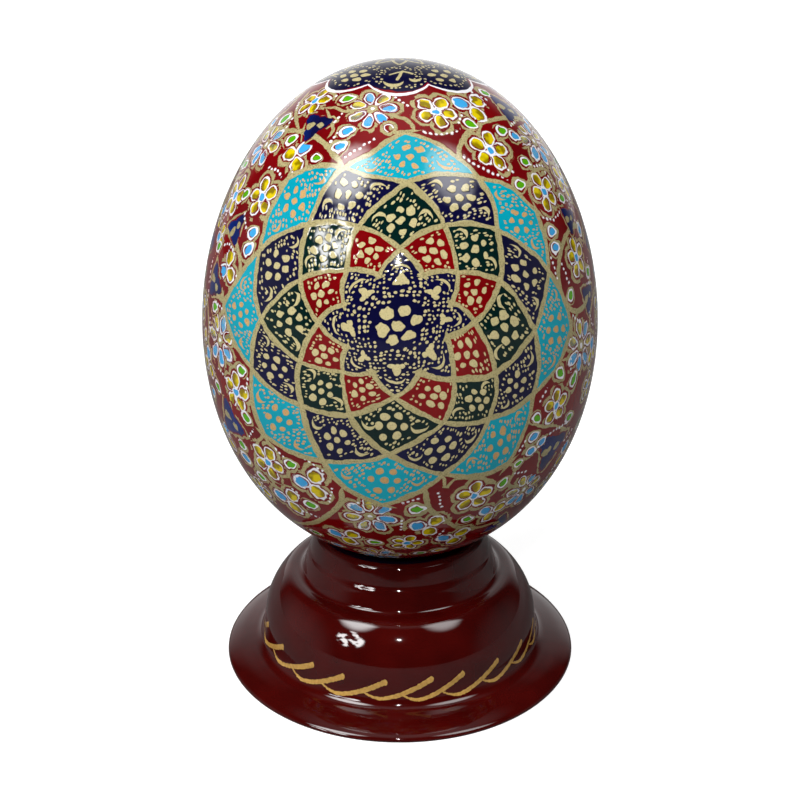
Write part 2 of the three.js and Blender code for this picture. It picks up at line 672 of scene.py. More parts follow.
FLANK_MARKS: tuple[Mark, ...] = marks(
    {
        Motif.FLOWER: (
            (0, 60), (0, 8, 40, 1.1), (0, -36, 20, 1.05), (-14, 8, 10, 0.95), (14, 8, 30, 0.95),
            (-15, -36, 0, 0.9), (15, -36, 0, 0.9), (-24.5, -14, 10, 0.8), (31, -47, 0, 0.95),
            (-27, -47, 25, 0.9), (-9, -67, 0, 0.75), (9, -67, 30, 0.75),
        ),
        Motif.BLOOM: (
            (0, 40, 10, 1.15), (0, -14, 0, 1.1), (-15, -56.5, 0, 0.8), (15, -56.5, 0, 0.8),
        ),
        Motif.TRIO: (
            (0, -52, 90), (0, 78, 90, 0.8), (13, 35.5, 60, 0.8), (21, 31, 200, 0.7),
            (-23.5, -3.5, 100, 0.85), (23.5, -7, 80, 0.95), (-27.5, -35, 120, 0.95),
            (26, -29.5, 60, 0.95), (-22, -66, 90, 0.8), (23, -66, 90, 0.8), (0, -77, 90, 0.8),
        ),
        Motif.NAVY_LEAF: (
            (-10, 27, 60, 1.2), (10, 27, 120, 1.2), (-14, -23, -30, 1.3), (14, -23, 30, 1.3),
        ),
        Motif.GREEN_BUD: (
            (0, 22, 90, 1.1), (-8, 52, 30), (8, 52, -30), (-14, -6), (14, -6), (0, -26, 90),
            (-9, -42), (9, -42), (0, 71, 90, 0.9), (11, 17.5, -20, 0.9), (-22.5, -27, 60),
            (23, -40, 0, 0.9), (24.5, -57.5, 30), (-26.5, -57, -30),
        ),
        Motif.BLUE_BUD: (
            (0, 50, 90), (-8, -2, 50), (8, -2, -50), (-7, 66.5, 40, 0.9), (8, 66.5, -40, 0.9),
            (-18.5, 32.5, 60), (-11, 17.5, 20, 0.9), (23.5, -16.5, 20), (-17, -46.5, 40),
            (17, -46.5, -40), (-7, -47.5, 90, 0.8), (7, -47.5, 90, 0.8), (0, -60, 0, 0.9),
            (-14, -74, 0, 0.9), (14, -74, 0, 0.9),
        ),
        Motif.YELLOW_BUD: (
            (21, 1, 60, 0.95), (-10.5, -13, 80, 0.9), (10.5, -11, 100, 0.9), (0, -70, 0, 0.9),
        ),
    }
)

FRONT_ROWS: tuple[Row, ...] = rows(
    (
        (-11, 62.8, 41, 10), (0.3, 79, -45, 6), (11.5, 67.2, 0, 11, 0.05), (25.5, 79.3, -50, 6),
        (24, 55.5, -35, 15, 0.02), (38, 67.8, 22, 5), (45.5, 54, -12, 8),
        (-38.5, 53.8, -10, 8, -0.05), (-50, 38, -48, 6), (-37.3, 67.5, 100, 6),
        (-57, 30, -8, 9, -0.07), (-52.4, 21, -75, 5), (49, 38.6, 0, 10, 0.06), (47.6, 26, -82, 7),
        (53, 23.5, -72, 7), (51.5, 49.5, -60, 6), (43.5, -9, 60, 5), (36.8, -23.5, 60, 4.5),
        (52, -22.2, 6, 9), (3, -38, 20, 6), (11.2, -38, -75, 7), (37, -33.6, -8, 6),
        (58.5, 9.5, -35, 6), (-47.5, -22.5, 55, 5), (-36.4, -25.6, -45, 4), (-25, -27, -33, 7),
        (-20, -38, 72, 7), (-32, -39.6, -40, 3.5), (-27, -49.3, -8, 5), (-4, -66.5, -60, 8),
        (-17.5, 72, 70, 4), (-18.5, 65.5, 70, 4), (17, 72, 60, 5), (-62, 12.5, -10, 6),
        (-47.5, -7, 75, 6), (-60.5, -7, -20, 7, -0.03), (0.5, -49, 88, 6), (12, -55, 80, 5),
        (-13, -40, 40, 5), (56, -3, -80, 5), (-36.5, 74, -30, 5), (-66, 36, 60, 5),
        (66.5, 34, -40, 6), (70, 7, -60, 6), (-70, 4, 80, 7), (-20.5, 79, 65, 5),
        (31, 55, -30, 6), (60, -28, 30, 6), (-64, -28, -35, 6),
    )
)

FLANK_ROWS: tuple[Row, ...] = rows(
    (
        (-8, 33, 60, 7), (8, 33, -60, 7), (0, 16, 0, 8, 0.04), (-18, 0, 80, 7), (18, 0, -80, 7),
        (-7, 15, 40, 5), (7, 15, -40, 5), (0, -23, 0, 6), (-8, -30, 40, 6), (8, -30, -40, 6),
        (0, -44, 0, 8, 0.05), (0, 67, 0, 6), (-20, 20, 85, 8), (20, 20, 95, 8), (-6, -57, 60, 5),
        (6, -57, -60, 5), (-18, -14, 85, 7), (18.5, -12, 95, 7), (-20, -32, -55, 6),
        (20.5, -30, 65, 6), (-5.5, 22, 80, 5), (5.5, 22, -80, 5), (-19, 40, -60, 5),
        (-23, 17, 0, 5), (21, 12, 75, 6), (-31, -42, 60, 6), (36, -42, -50, 6), (-20, -40, 20, 5),
        (0, -66, 0, 6), (-5, 73, 60, 4), (5, 73, -60, 4), (-24, 5, -20, 5), (0, 31, 90, 5),
    )
)

FRONT_VINES: tuple[Vine, ...] = vines(
    {
        1.7: (
            ((-15, 57), (-20, 62.5), (-25, 65.5), (-31, 66.3), (-38, 65.7), (-47, 65), (-55, 62)),
            ((16, 58), (16.5, 63.5), (20, 67.7), (25, 70), (33, 70.3), (41, 69.5), (49, 67)),
            ((7, -33), (8.2, -41), (12.5, -47), (17, -52.5), (23, -55.6), (31, -56)),
        ),
        1.0: (
            ((-22, 75), (-20, 71.5), (-18.8, 68), (-20.3, 65.3)),
            ((51, -0.5), (56, -0.6), (60, 0.5)),
        ),
        1.1: (
            ((-24.5, 74.5), (-19, 75.6), (-15, 74.5), (-11, 76.5)),
            ((-45, -1), (-50.5, 2.5), (-55, 4)), ((39.5, -16), (44, -19), (50, -20.6), (58, -25)),
            ((-2.5, 74), (2, 72), (4, 68.5)),
            ((38, 49), (41.5, 52), (46, 53), (51, 51.5), (54, 47)),
            ((24, 70), (22.5, 66), (24.5, 65)),
            ((12, -28.5), (13, -33), (16, -30.5), (22, -31.3), (28, -34)),
        ),
        1.3: (
            ((-31, 66.3), (-34, 70), (-36, 74), (-34, 80)),
            ((-41.5, -21), (-45, -25), (-47, -30), (-47.5, -36), (-42, -40)),
        ),
        1.8: (
            ((-16.5, -34), (-17, -40), (-20.5, -46), (-26, -53), (-32, -58), (-38, -61)),
        ),
        1.2: (
            ((-42, -36), (-40, -41), (-38.5, -45)),
            ((32, -28.5), (35, -31), (33, -37), (38, -39.5), (46, -38.5)),
        ),
    }
) + (Vine.ring(-59.5, 24, 9.3, -150, 165), Vine.ring(61, 23, 11.5, 20, 340))

FLANK_VINES: tuple[Vine, ...] = vines(
    {
        1.7: (
            ((0, 33), (-6, 26), (-4, 18), (0, 15)), ((0, 33), (6, 26), (4, 18), (0, 15)),
            ((-9, -13), (-6, -20), (0, -24), (6, -20), (9, -13)),
        ),
        1.3: (
            ((0, -44), (-7, -48), (-12, -46)), ((0, -44), (7, -48), (12, -46)),
            ((0, 47), (-6, 46), (-11, 48)), ((0, 47), (6, 46), (11, 48)),
            ((-17, 14), (-22, 11), (-26, 7), (-25, 2)), ((18, 14), (23, 9), (25, 3), (24, -2)),
        ),
        1.2: (
            ((-19, -8), (-18, -14), (-20, -20), (-25, -22)),
            ((19, -1), (18, -8), (19, -15), (24, -21)),
            ((-9, -42), (-16, -43), (-22, -41), (-26, -40)),
            ((9, -42), (16, -43), (22, -45), (26, -50)),
            ((-15, 41), (-12, 36), (-15, 31), (-19, 28)),
            ((10, 50), (12, 44), (10, 37), (14, 32)),
            ((-20, -52), (-12, -50), (-8, -54), (-9, -60)),
            ((20, -52), (12, -50), (8, -54), (9, -60)),
        ),
        1.1: (
            ((-5, 66), (-9, 71), (-7, 76)), ((5, 66), (9, 71), (7, 76)),
        ),
    }
)


# ---------------------------------------------------------------------------------------------
# The shell and its map
# ---------------------------------------------------------------------------------------------


@dataclass
class Shell:
    """The ostrich egg: its form, its map and the painting's plan laid out on it."""

    half_length: float = 77.6
    half_width: float = 60.93
    bluntness: float = 0.047
    fullness: float = 0.018
    centre_height: float = 115.8
    rows: int = 270
    columns: int = 360
    net: Net = field(default_factory=Net)
    small_reach: float = 0.45  # how far buds reach against flowers, where both are near
    trio_reach: float = 0.8
    mark_limit: float = 9.5  # past this many sizes no motif shows
    row_margin: float = 1.5  # mm
    row_limit: float = 1.1
    vine_limit: float = 4.0  # mm

    def __post_init__(self) -> None:
        """Works out the outline, fine, with the way up along it counted from the middle height."""
        angle = np.linspace(math.pi, 0, 4001)
        self.fine_radius, self.fine_height = self.outline(angle)
        steps = np.hypot(np.diff(self.fine_radius), np.diff(self.fine_height))
        north = np.concatenate([[0], np.cumsum(steps)])
        middle = np.interp(self.centre_height, self.fine_height, north)
        self.fine_north = north - middle
        self.pole_north = float(self.fine_north[-1])

    def outline(self, angle: np.ndarray) -> tuple[np.ndarray, np.ndarray]:
        """The egg's outline.

        radius = half width x sin(angle) (1 - bluntness cos(angle) + fullness cos(angle)^2), and
        height = centre height + half length x cos(angle), the angle being counted from the top.

        Args:
            angle: from the top pole, 0 to pi.

        Returns:
            Radius and height in mm.
        """
        rise = np.cos(angle)
        swell = 1 - self.bluntness * rise + self.fullness * rise**2
        return self.half_width * np.sin(angle) * swell, self.centre_height + self.half_length * rise

    def point(self, turn: np.ndarray, north: np.ndarray) -> np.ndarray:
        """The point of the shell at an angle round the axis and a way up along it, in mm.

        Args:
            turn: the angles in radians.
            north: the ways up in mm.

        Returns:
            One row of x, y, z in mm for each.
        """
        radius = np.interp(north, self.fine_north, self.fine_radius)
        height = np.interp(north, self.fine_north, self.fine_height)
        return np.stack([radius * np.sin(turn), -radius * np.cos(turn), height], axis=-1)

    def turn_of(self, east: np.ndarray, north: np.ndarray) -> np.ndarray:
        """The angle round the axis of a place on the map: east over the parallel's radius."""
        return east / np.maximum(np.interp(north, self.fine_north, self.fine_radius), 1.0)

    def frame_at(self, turn: np.ndarray, north: np.ndarray) -> tuple[np.ndarray, np.ndarray, np.ndarray]:
        """A point of the shell with its east and north directions.

        Args:
            turn: the angles round the axis in radians.
            north: the ways up along the shell in mm.

        Returns:
            The points in mm and both directions, one row for each.
        """
        here = self.point(turn, north)
        east = np.stack([np.cos(turn), np.sin(turn), np.zeros_like(turn)], axis=-1)
        up = self.point(turn, north + 0.2) - self.point(turn, north - 0.2)
        return here, east, up / np.linalg.norm(up, axis=-1, keepdims=True)

    def build(self) -> bpy.types.Object:
        """Makes the shell's mesh and lays the painting's plan on it as attributes.

        Returns:
            The finished object.
        """
        angle = np.linspace(math.pi, 0, self.rows + 1)
        radius, height = self.outline(angle)
        radius[[0, -1]] = 0
        self.turned = Turned(np.column_stack([radius, height]), self.columns)
        piece = self.turned.mesh("painted_shell")
        north = np.interp(height, self.fine_height, self.fine_north)[self.turned.corner_rows]
        turn = self.turned.turns()
        self.corner_points = self.point(turn, north)
        middle = self.by_face(turn)
        side = np.where(np.abs(middle) < math.pi / 2, 0.0, math.pi)
        local_turn = turn - np.where(turn > 0, side, -side)
        around = np.interp(north, self.fine_north, self.fine_radius)
        east = local_turn * around
        even = self.net.evened(np.column_stack([east, north]))
        corner_attribute(piece, "medallion", np.column_stack([even, side > 0]))
        corner_attribute(piece, "cap", np.column_stack([local_turn, self.pole_north - north, side > 0]))
        self.lay_marks(piece)
        self.lay_rows(piece)
        self.lay_vines(piece)
        return piece

    def by_face(self, values: np.ndarray) -> np.ndarray:
        """Gives every corner the mean of its face's corners.

        Args:
            values: one number for each corner.

        Returns:
            The means, one for each corner.
        """
        faces = self.turned.face_of_corner
        total = np.bincount(faces, weights=values)
        return (total / self.turned.sides)[faces]

    def face_middles(self) -> np.ndarray:
        """The middle of every face in mm.

        Returns:
            One row of x, y, z for each face.
        """
        faces = self.turned.face_of_corner
        sums = [np.bincount(faces, weights=self.corner_points[:, axis]) for axis in range(3)]
        return np.column_stack(sums) / self.turned.sides[:, None]

    def spread(self, front: Sequence, flank: Sequence) -> list[tuple[object, float]]:
        """Lists every item with the turn of its middle line: front and back, then both flanks."""
        listed = [(item, turn) for turn in (0.0, math.pi) for item in front]
        return listed + [(item, turn) for turn in (-math.pi / 2, math.pi / 2) for item in flank]

    def nearest(self, centres: np.ndarray, sizes: np.ndarray) -> tuple[np.ndarray, np.ndarray]:
        """Finds the nearest centre of each corner's face, counting distance in that centre's sizes.

        Args:
            centres: points in mm.
            sizes: one size for each of them.

        Returns:
            The centre's number for each corner, and the distance in sizes.
        """
        found, reach = [], []
        for part in np.array_split(self.face_middles(), 60):
            apart = np.linalg.norm(part[:, None] - centres[None], axis=2) / sizes[None]
            found.append(apart.argmin(axis=1))
            reach.append(apart.min(axis=1))
        faces = self.turned.face_of_corner
        return np.concatenate(found)[faces], np.concatenate(reach)[faces]

    def planes(
        self, listed: list[tuple[object, float]], sizes: np.ndarray
    ) -> tuple[np.ndarray, np.ndarray, np.ndarray, np.ndarray]:
        """Sets each corner in the plane of its nearest mark or row, turned as that one is.

        Args:
            listed: the marks or rows, each with the turn of its middle line.
            sizes: how far each of them reaches, mm.

        Returns:
            For each corner: the number of its mark or row, the distance in sizes, and the place
            along and across in mm.
        """
        north = np.array([item.north for item, _ in listed])
        turn = np.array([line for _, line in listed])
        turn = turn + self.turn_of(np.array([item.east for item, _ in listed]), north)
        centre, east, up = self.frame_at(turn, north)
        which, reach = self.nearest(centre, sizes)
        away = self.corner_points - centre[which]
        x, y = (away * east[which]).sum(axis=1), (away * up[which]).sum(axis=1)
        spin = np.radians([item.turn for item, _ in listed])[which]
        cosine, sine = np.cos(spin), np.sin(spin)
        return which, reach, x * cosine + y * sine, y * cosine - x * sine

    def lay_marks(self, piece: bpy.types.Object) -> None:
        """Gives each face the plane of its nearest motif: x, y in that motif's sizes, its kind.

        Args:
            piece: the shell.
        """
        listed = self.spread(FRONT_MARKS, FLANK_MARKS)
        size = np.array([mark.size for mark, _ in listed])
        kind = np.array([int(mark.kind) for mark, _ in listed], dtype=float)
        reach_of = np.where(np.isin(kind, SMALL_MOTIFS), self.small_reach, 1.0)
        reach_of[kind == Motif.TRIO] = self.trio_reach
        which, reach, x, y = self.planes(listed, size * reach_of)
        local = np.column_stack([x, y]) / size[which][:, None]
        shown = np.where(reach < self.mark_limit, kind[which], Motif.NONE)
        corner_attribute(piece, "motif", np.column_stack([local, shown]))

    def lay_rows(self, piece: bpy.types.Object) -> None:
        """Gives each face the plane of its nearest row: along, across and half its length.

        Args:
            piece: the shell.
        """
        listed = self.spread(FRONT_ROWS, FLANK_ROWS)
        half = np.array([row.length / 2 for row, _ in listed])
        bow = np.array([row.bow for row, _ in listed])
        which, reach, along, across = self.planes(listed, half + self.row_margin)
        across = across - bow[which] * along**2
        shown = np.where(reach < self.row_limit, half[which], ABSENT)
        corner_attribute(piece, "dots", np.column_stack([along, across, shown]))

    def lay_vines(self, piece: bpy.types.Object) -> None:
        """Gives each face the nearest vine: the way along to its nearer end, across it, its width.

        Args:
            piece: the shell.
        """
        centres, sideways, forward, ends, widths = [], [], [], [], []
        for vine, line in self.spread(FRONT_VINES, FLANK_VINES):
            places = smooth_line(vine.places, 0.8)
            turn = line + self.turn_of(places[:, 0], places[:, 1])
            here, east, up = self.frame_at(turn, places[:, 1])
            run = np.gradient(here, axis=0)
            run /= np.linalg.norm(run, axis=1, keepdims=True)
            gone = np.concatenate([[0], np.cumsum(np.linalg.norm(np.diff(here, axis=0), axis=1))])
            centres.append(here)
            forward.append(run)
            sideways.append(np.cross(np.cross(east, up), run))
            ends.append(np.column_stack([gone, gone[-1] - gone]))
            widths.append(np.full(len(here), vine.width))
        centre, run, side = np.vstack(centres), np.vstack(forward), np.vstack(sideways)
        end, width = np.vstack(ends), np.concatenate(widths)
        which, reach = self.nearest(centre, np.ones(len(centre)))
        away = self.corner_points - centre[which]
        ahead = (away * run[which]).sum(axis=1)
        across = (away * side[which]).sum(axis=1)
        to_end = np.minimum(end[which, 0] + ahead, end[which, 1] - ahead)
        shown = np.where(reach < self.vine_limit, width[which], ABSENT)
        corner_attribute(piece, "vine", np.column_stack([to_end, across, shown]))


# ---------------------------------------------------------------------------------------------
# The painting itself
# ---------------------------------------------------------------------------------------------


@dataclass(frozen=True)
class Gloss:
    """A finish that shines: its relief stands a little above the ground, and no coat lies over it."""

    relief_height: float  # mm
    ior: float = 1.5

    def finish(self, tree: Tree, colour: Value, roughness: Number, relief: Value) -> None:
        """Ends a material with its shader.

        Args:
            tree: the material.
            colour: the base colour.
            roughness: how blurred its reflections are.
            relief: the surface's relief, 0 to 1.
        """
        bump = tree.node("ShaderNodeBump", values={"Distance": self.relief_height * MM, "Height": relief})
        values = {"Base Color": colour, "Roughness": roughness, "IOR": self.ior, "Normal": tree.out(bump)}
        shader = tree.node("ShaderNodeBsdfPrincipled", values=values)
        tree.node("ShaderNodeOutputMaterial", values={0: tree.out(shader)})


class ShellPaint:
    """The painting on the shell, layer on layer, as one material."""

    RELIEF_EDGE = 0.4  # how wide the paint's rounded edge is, mm
    CAP_EDGE = 26.4  # from the pole to the cap's notches, mm
    CAP_SCALLOP = 4.3
    CAP_SPOT = 18.4  # from the pole to the cap's clusters
    CAP_TURN = 0.02  # radians
    POLE_STAR = 5.0  # from the pole to its star's notches, mm
    POLE_PITCH = 4.4
    CAP_SQUEEZE = 1.32
    DOT_STEP = 1.5  # between the dots of a row, mm
    HOOK_ROOM = 9.0  # half the width that a cell needs for its crescents, mm
    finish = Gloss(relief_height=0.022)

    def __init__(self) -> None:
        """Reads the hand's small wanders, which every shape shares."""
        self.tree = Tree(bpy.data.materials.new("painted_and_lacquered_shell"))
        tree = self.tree
        self.slow, slow_colour = tree.noise(7.0, 1.0)
        self.quick, quick_colour = tree.noise(1.5, 0.0, 0.3)
        slow, quick = tree.parts(slow_colour), tree.parts(quick_colour)
        self.fine_x, self.fine_y = (quick[0] - 0.5) * 0.5, (quick[1] - 0.5) * 0.5
        self.wander_x = (slow[0] - 0.5) * 1.3 + self.fine_x
        self.wander_y = (slow[1] - 0.5) * 1.3 + self.fine_y
        self.cloud, _ = tree.noise(16.0, 3.0, 0.7)
        self.grain, _ = tree.noise(0.45, 2.0, 0.9)
        fleck = tree.most(self.grain * 3.0 - 1.2, self.slow * 1.4 - 0.6)
        self.gold = tree.blend(fleck, Pigment.GOLD_LINE, Pigment.GOLD_SHADE)
        self.relief: Number = 0.0

    def lay(self, distance: Value, colour: Paint, where: Number = 1.0) -> None:
        """Paints a shape over what is there already, with the thickness that paint has.

        Args:
            distance: the signed distance to the shape, mm.
            colour: its colour.
            where: 1 where the shape may show.
        """
        tree = self.tree
        self.colour = tree.blend(tree.inside(distance) * where, self.colour, colour)
        self.relief = tree.most(self.relief, tree.inside(distance, self.RELIEF_EDGE) * where)

    def among(self, kind: Value, first: Motif, last: Motif) -> Value:
        """1 where the motif is one of a run of kinds."""
        return (kind > first - 0.5) * (kind < last + 0.5)

    def cluster(self, x: Value, y: Value, spin: Number, apart: float, radius: float) -> Value:
        """Six blots about a seventh, each of its own size and a little drop-shaped.

        The nearest of the six is found by folding the angle into one sixth of a turn.

        Args:
            x, y: the place, in mm from the middle blot.
            spin: turns the ring of blots, radians.
            apart: from the middle blot to the others.
            radius: the blots' usual radius.

        Returns:
            The signed distance to the blots.
        """
        tree = self.tree
        x, y = x + self.fine_x * 1.4, y + self.fine_y * 1.4
        out = tree.length(x, y)
        sixth = (tree.math("ARCTAN2", y, x) + spin) / (math.pi / 3)
        number = tree.math("FLOOR", sixth)
        folded = (sixth - number - 0.5) * (math.pi / 3)
        own = tree.chance(number % 6.0, spin, 4.0)
        ahead = out * tree.math("COSINE", folded) - apart - (own[1] - 0.5) * 0.7
        aside = out * tree.math("SINE", folded) * (1 + (own[2] - 0.35) * 0.45 * ahead)
        ring = tree.length(ahead, aside) - radius * (own[0] * 0.36 + 0.8)
        return tree.least(out - radius, ring)

    def sprinkle(
        self, x: Value, y: Value, seed: Number, apart: float, keep: Keep, slant: float = 0.0
    ) -> Value:
        """Small dots strewn over a plane, each one whole or left out, drawn out along a slanted way.

        Each point takes its nearest strewn place, and the dot there is drawn only where keep says so
        of that place, so no dot is cut by the edge of an area.

        Args:
            x, y: the place in mm.
            seed: shifts the pattern.
            apart: about how far apart the dots are, mm.
            keep: from a strewn place in mm, above zero where a dot may lie.
            slant: the way that the dots are drawn out, radians; 0 leaves them round.

        Returns:
            The signed distance to the dots, in mm.
        """
        tree = self.tree
        shift = seed * 37.0
        cosine, sine = math.cos(slant), math.sin(slant)
        wide, high = apart * (1.3 if slant else 1.0), apart * (0.86 if slant else 1.0)
        place = tree.vector((x * cosine + y * sine) / wide + shift, (y * cosine - x * sine) / high)
        values = {"Vector": place, "Scale": 1.0, "Randomness": 0.6}
        cells = tree.node("ShaderNodeTexVoronoi", {"voronoi_dimensions": "2D"}, values)
        where = tree.parts(tree.out(cells, "Position"))
        ahead, aside = (where[0] - shift) * wide, where[1] * high
        allowed = keep(ahead * cosine - aside * sine, aside * cosine + ahead * sine)
        size = tree.parts(tree.out(cells, "Color"))[0] * 0.18 + 0.24
        distance = tree.out(cells, "Distance") * apart - size
        return tree.choose(allowed > 0.0, 1.0, distance)

    def crescent(self, x: Value, y: Value, radius: float, thick: float) -> Value:
        """A crescent: the lower half of a ring, thickest at its lowest place.

        Args:
            x, y: the place, in mm from the ring's middle.
            radius: the ring's radius.
            thick: half its greatest thickness.

        Returns:
            The signed distance to it.
        """
        tree = self.tree
        out = tree.length(x, y)
        taper = tree.most(-0.35 - y / radius, 0.0) * thick * 1.6
        return tree.choose(y < -0.3 * radius, 1.0, abs(out - radius) - taper)

    def stroke(
        self, x: Value, y: Value, start: tuple[float, float], end: tuple[float, float], half: float
    ) -> Value:
        """A straight brush stroke with round ends.

        Args:
            x, y: the place in mm.
            start, end: the stroke's ends.
            half: half its thickness.

        Returns:
            The signed distance to it.
        """
        tree = self.tree
        run = end[0] - start[0], end[1] - start[1]
        from_x, from_y = x - start[0], y - start[1]
        ahead = from_x * run[0] + from_y * run[1]
        share = tree.math("DIVIDE", ahead, run[0] ** 2 + run[1] ** 2, clamp=True)
        return tree.length(from_x - share * run[0], from_y - share * run[1]) - half

    def medallion(self) -> None:
        """Paints the medallion: the net's cells in their colours, their dots, and the gold net."""
        tree, net = self.tree, Net()
        x, y, side = tree.attribute("medallion")
        x, y = x + self.wander_x, y + self.wander_y
        out = tree.length(x, y)
        turn = tree.math("ARCTAN2", x, y) * (8 / math.pi)
        ring = (out - net.inner) / net.pitch
        one, two = (turn + ring) * 0.5, (turn - ring) * 0.5
        cell_one, cell_two = tree.math("ROUND", one), tree.math("ROUND", two)
        cell_ring, cell_turn = cell_one - cell_two, cell_one + cell_two
        steep = 0.5 * tree.length(8 / math.pi / out, 1 / net.pitch)
        line = (0.5 - tree.most(abs(one - cell_one), abs(two - cell_two))) / steep
        inside = ring < 5.0
        grounds = (
            (Pigment.NAVY, Pigment.INK, -99, 0.5),
            (Pigment.RED, Pigment.DEEP_RED, 0.5, 1.5),
            (Pigment.GREEN, Pigment.DEEP_GREEN, 1.5, 2.5),
            (Pigment.NAVY, Pigment.INK, 2.5, 3.5),
            (Pigment.TURQUOISE, Pigment.DEEP_TURQUOISE, 3.5, 4.5),
        )
        for light, dark, low, high in grounds:
            here = (cell_ring > low) * (cell_ring < high)
            self.colour = tree.blend(here, self.colour, tree.blend(self.cloud * 1.6 - 0.4, light, dark))
        seed, spin, lean = tree.chance(cell_turn % 16.0, cell_ring, side)
        up = (ring - cell_ring) * net.pitch
        along = (turn - cell_turn) * out * (math.pi / 8)
        half = (net.inner + net.pitch * cell_ring) * (math.pi / 8)
        shift_x, shift_y = (seed - 0.5) * 2.4, (lean - 0.5) * 1.4
        apart = 2.7 + 0.18 * cell_ring
        big = self.cluster(along - shift_x, up - shift_y, spin * 6.3, apart, 1.0)
        tip = half * 0.52
        upright = tree.choose(spin > 0.5, -1.0, 1.0)

        def hook(at_x: Value, at_y: Value, thick: float) -> Value:
            """The crescents at both sides of the cell's cluster, opening up or down."""
            return self.crescent(abs(at_x) - tip, at_y * upright - 0.6, 2.1, thick)

        def in_cell(at_x: Value, at_y: Value) -> Value:
            """Above zero well inside the cell and clear of its cluster and crescents.

            Args:
                at_x, at_y: the place in mm.

            Returns:
                How much room there is.
            """
            room = 0.81 - abs(at_x) / half - abs(at_y) / net.pitch
            clear = tree.length(at_x - shift_x, at_y - shift_y) - apart - 1.45
            return tree.least(room, clear, hook(at_x, at_y, 0.4) - 0.5)

        small = self.sprinkle(along, up, seed + cell_ring, 1.18, in_cell, 0.9)
        shown_hook = hook(along, up, 0.4) + (half < self.HOOK_ROOM) * FAR
        warm = tree.blend(cell_ring > 3.5, Pigment.CREAM, Pigment.ORANGE_GOLD)
        warm = tree.blend(self.grain * 1.2 - 0.35, warm, self.gold)
        cell = (cell_ring > 0.5) * (cell_ring < 4.5) * inside
        self.lay(tree.least(big, small, shown_hook), warm, cell)
        self.star(x, y, out, turn, ring)
        wide = 0.72 + (self.slow - 0.5) * 0.7
        self.lay(line - wide, self.gold, (ring > -0.1) * (ring < 5.11))

    def star(self, x: Value, y: Value, out: Value, turn: Value, ring: Value) -> None:
        """Paints the star's middle: seven large dots, eight buds with crescents, and small dots.

        Args:
            x, y: the place on the even net, mm.
            out, turn, ring: the same place as radius, angle in sixteenths of a turn, and ring.
        """
        tree, net = self.tree, Net()
        folded = turn - 2 * tree.math("ROUND", turn / 2)
        across = folded * (math.pi / 8) * out
        middle = self.cluster(x, y, 0.3, 3.5, 1.22)
        uneven = across + self.fine_x * 2.0
        body = (tree.length(uneven / 0.85, (out - 11.3 + self.fine_y) / 1.9) - 1) * 0.9
        lobes = tree.length(abs(uneven) - 1.05, out - 10.1 + self.fine_y) - 0.72
        hook = self.crescent(across, 13.2 - out, 2.4, 0.42)

        def in_star(at_x: Value, at_y: Value) -> Value:
            """Above zero inside the star, clear of its middle, buds and crescents.

            Args:
                at_x, at_y: the place in mm.

            Returns:
                How much room there is.
            """
            far = tree.length(at_x, at_y)
            bearing = tree.math("ARCTAN2", at_x, at_y) * (8 / math.pi)
            bend = bearing - 2 * tree.math("ROUND", bearing / 2)
            sideways = abs(bend) * (math.pi / 8) * far
            room = 0.8 - (far - net.inner) / net.pitch - abs(bend)
            bud = tree.length(sideways / 2.1, (far - 10.9) / 2.5) - 1
            return tree.least(room, far - 5.4, bud, self.crescent(sideways, 13.2 - far, 2.4, 0.42) - 0.45)

        small = self.sprinkle(x, y, 3.3, 1.2, in_star)
        spots = tree.least(middle, body, lobes, hook, small)
        warm = tree.blend(self.grain * 1.2 - 0.4, Pigment.CREAM, self.gold)
        self.lay(spots, warm, (ring + abs(folded)) < 0.93)

    def border(self) -> None:
        """Paints the red border: gold vines, flowers, buds, navy leaves and rows of white dots."""
        tree = self.tree
        self.colour = tree.blend(self.cloud * 1.9 - 0.55, Pigment.RED, Pigment.DEEP_RED)
        to_end, across, width = tree.attribute("vine")
        width = tree.least(width * 0.46, width * 0.1 + to_end * 0.28) + (self.slow - 0.5) * 0.5
        self.lay(abs(across + self.fine_x) - width, self.gold)
        x, y, kind = tree.attribute("motif")
        x, y = x + self.fine_x * 1.4 + self.wander_x * 0.4, y + self.fine_y * 1.4 + self.wander_y * 0.4
        self.leaves(x, y, kind)
        self.buds(x, y, kind)
        self.flowers(x, y, kind)
        along, across, half = tree.attribute("dots")
        number = tree.math("FLOOR", (along + half) / self.DOT_STEP)
        own = tree.chance(number, half, 8.0)
        spot = (along + half) - (number + 0.5) * self.DOT_STEP
        spot = tree.length(spot * 0.85, across + (own[1] - 0.5) * 0.5 + self.fine_x) - 0.3 - own[0] * 0.16
        self.lay(tree.most(spot, abs(along) - half), Pigment.WHITE)

